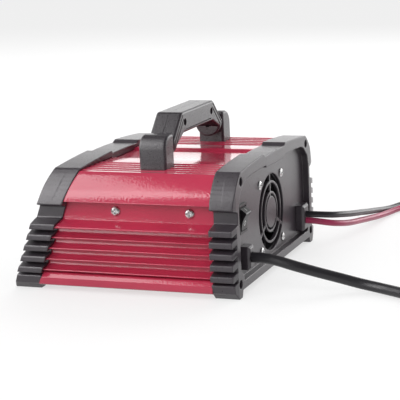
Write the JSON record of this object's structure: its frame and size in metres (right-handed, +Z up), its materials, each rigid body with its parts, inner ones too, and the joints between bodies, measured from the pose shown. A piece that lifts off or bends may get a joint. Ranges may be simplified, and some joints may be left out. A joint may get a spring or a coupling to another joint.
{
  "type": "battery charger",
  "caption": "Portable mains battery charger in a ribbed red metal case with black end caps, fold-down carry handle, cooling fan, rocker switch, mains lead and clamp leads.",
  "frame": {"origin": "on the floor, under the middle of the charger's bounding box measured without its cords", "axes": "+X towards the rear face with the fan, -Y towards the side with the mains lead, +Z up"},
  "size_m": [0.4009, 0.3595, 0.1225],
  "materials": {
    "red_enamel": "semi-gloss",
    "black_plastic": "fine grain",
    "nickel_steel": "nickel plated",
    "bare_aluminium": "plain",
    "component_black": "plain",
    "switch_black": "satin",
    "board_laminate": "coated",
    "ferrite": "dull",
    "copper_wire": "enamelled",
    "capacitor_sleeve": "sleeved",
    "relay_blue": "moulded",
    "fuse_glass": "clear",
    "window_grey": "gloss",
    "light_lens": "frosted",
    "button_grey": "satin",
    "black_cord": "satin",
    "red_cord": "satin",
    "brass_blades": "polished",
    "clamp_black": "satin",
    "clamp_red": "satin"
  },
  "bodies": {
    "cabinet": {"lower_shell": "red_enamel", "upper_shell": "red_enamel", "rear_cap": "black_plastic", "front_cap": "black_plastic", "rear_cap_screws": "nickel_steel", "front_cap_screws": "nickel_steel", "band_screws": "nickel_steel", "cooling_bar_near": "bare_aluminium", "cooling_bar_far": "bare_aluminium", "power_devices": "component_black", "fan_frame": "component_black", "fan_screws": "nickel_steel", "switch_body": "switch_black", "mains_gland": "black_plastic", "output_gland": "black_plastic", "handle_post_near": "black_plastic", "handle_post_far": "black_plastic", "post_screws": "nickel_steel", "main_board": "board_laminate", "board_standoffs": "nickel_steel", "board_screws": "nickel_steel", "transformer_core": "ferrite", "transformer_winding": "copper_wire", "input_capacitors": "capacitor_sleeve", "output_capacitors": "capacitor_sleeve", "output_choke": "copper_wire", "heat_sink": "bare_aluminium", "relay": "relay_blue", "fuse": "fuse_glass", "control_board": "board_laminate", "control_board_screws": "nickel_steel", "display_window": "window_grey", "indicator_lights": "light_lens", "mains_cord": "black_cord", "mains_coil": "black_cord", "mains_plug": "black_cord", "plug_blades": "brass_blades", "black_lead": "black_cord", "black_coil": "black_cord", "red_lead": "red_cord", "red_coil": "red_cord", "cord_ties": "component_black", "black_clamp_base": "clamp_black", "black_clamp_pin": "nickel_steel", "black_clamp_spring": "nickel_steel", "red_clamp_base": "clamp_red", "red_clamp_pin": "nickel_steel", "red_clamp_spring": "nickel_steel"},
    "fan_rotor": {"fan_rotor": "component_black"},
    "rocker": {"switch_rocker": "switch_black"},
    "handle": {"grip_front_half": "black_plastic", "grip_rear_half": "black_plastic", "grip_screws": "nickel_steel", "handle_pins": "nickel_steel"},
    "select_button": {"select_button": "button_grey"},
    "rate_button": {"rate_button": "button_grey"},
    "start_button": {"start_button": "button_grey"},
    "black_clamp_jaw": {"black_clamp_jaw": "clamp_black"},
    "red_clamp_jaw": {"red_clamp_jaw": "clamp_red"}
  },
  "joints": [
    {"name": "fan_spin", "type": "hinge", "parent": "cabinet", "child": "fan_rotor", "pos_m": [0.067, 0.0015, 0.0429], "axis": [1, 0, 0], "continuous": true},
    {"name": "rocker_tilt", "type": "hinge", "parent": "cabinet", "child": "rocker", "pos_m": [0.0824, -0.0667, 0.053], "axis": [0, 1, 0], "range_deg": [-14, 0]},
    {"name": "handle_fold", "type": "hinge", "parent": "cabinet", "child": "handle", "pos_m": [0.0174, 0, 0.1023], "axis": [0, 1, 0], "range_deg": [-85, 85]},
    {"name": "select_press", "type": "slide", "parent": "cabinet", "child": "select_button", "axis": [0.9376, 0, -0.3478], "range_m": [0, 0.0006], "stiffness_N_per_m": 300, "springref_m": -0.002},
    {"name": "rate_press", "type": "slide", "parent": "cabinet", "child": "rate_button", "axis": [0.9376, 0, -0.3478], "range_m": [0, 0.0006], "stiffness_N_per_m": 300, "springref_m": -0.002},
    {"name": "start_press", "type": "slide", "parent": "cabinet", "child": "start_button", "axis": [0.9376, 0, -0.3478], "range_m": [0, 0.0006], "stiffness_N_per_m": 300, "springref_m": -0.002},
    {"name": "black_clamp_open", "type": "hinge", "parent": "cabinet", "child": "black_clamp_jaw", "pos_m": [0.2685, 0.137, 0], "axis": [0, 0, 1], "range_deg": [-24, 0], "stiffness_Nm_per_rad": 0.05, "springref_deg": 17.19},
    {"name": "red_clamp_open", "type": "hinge", "parent": "cabinet", "child": "red_clamp_jaw", "pos_m": [0.1965, 0.115, 0], "axis": [0, 0, 1], "range_deg": [-24, 0], "stiffness_Nm_per_rad": 0.05, "springref_deg": 17.19}
  ]
}
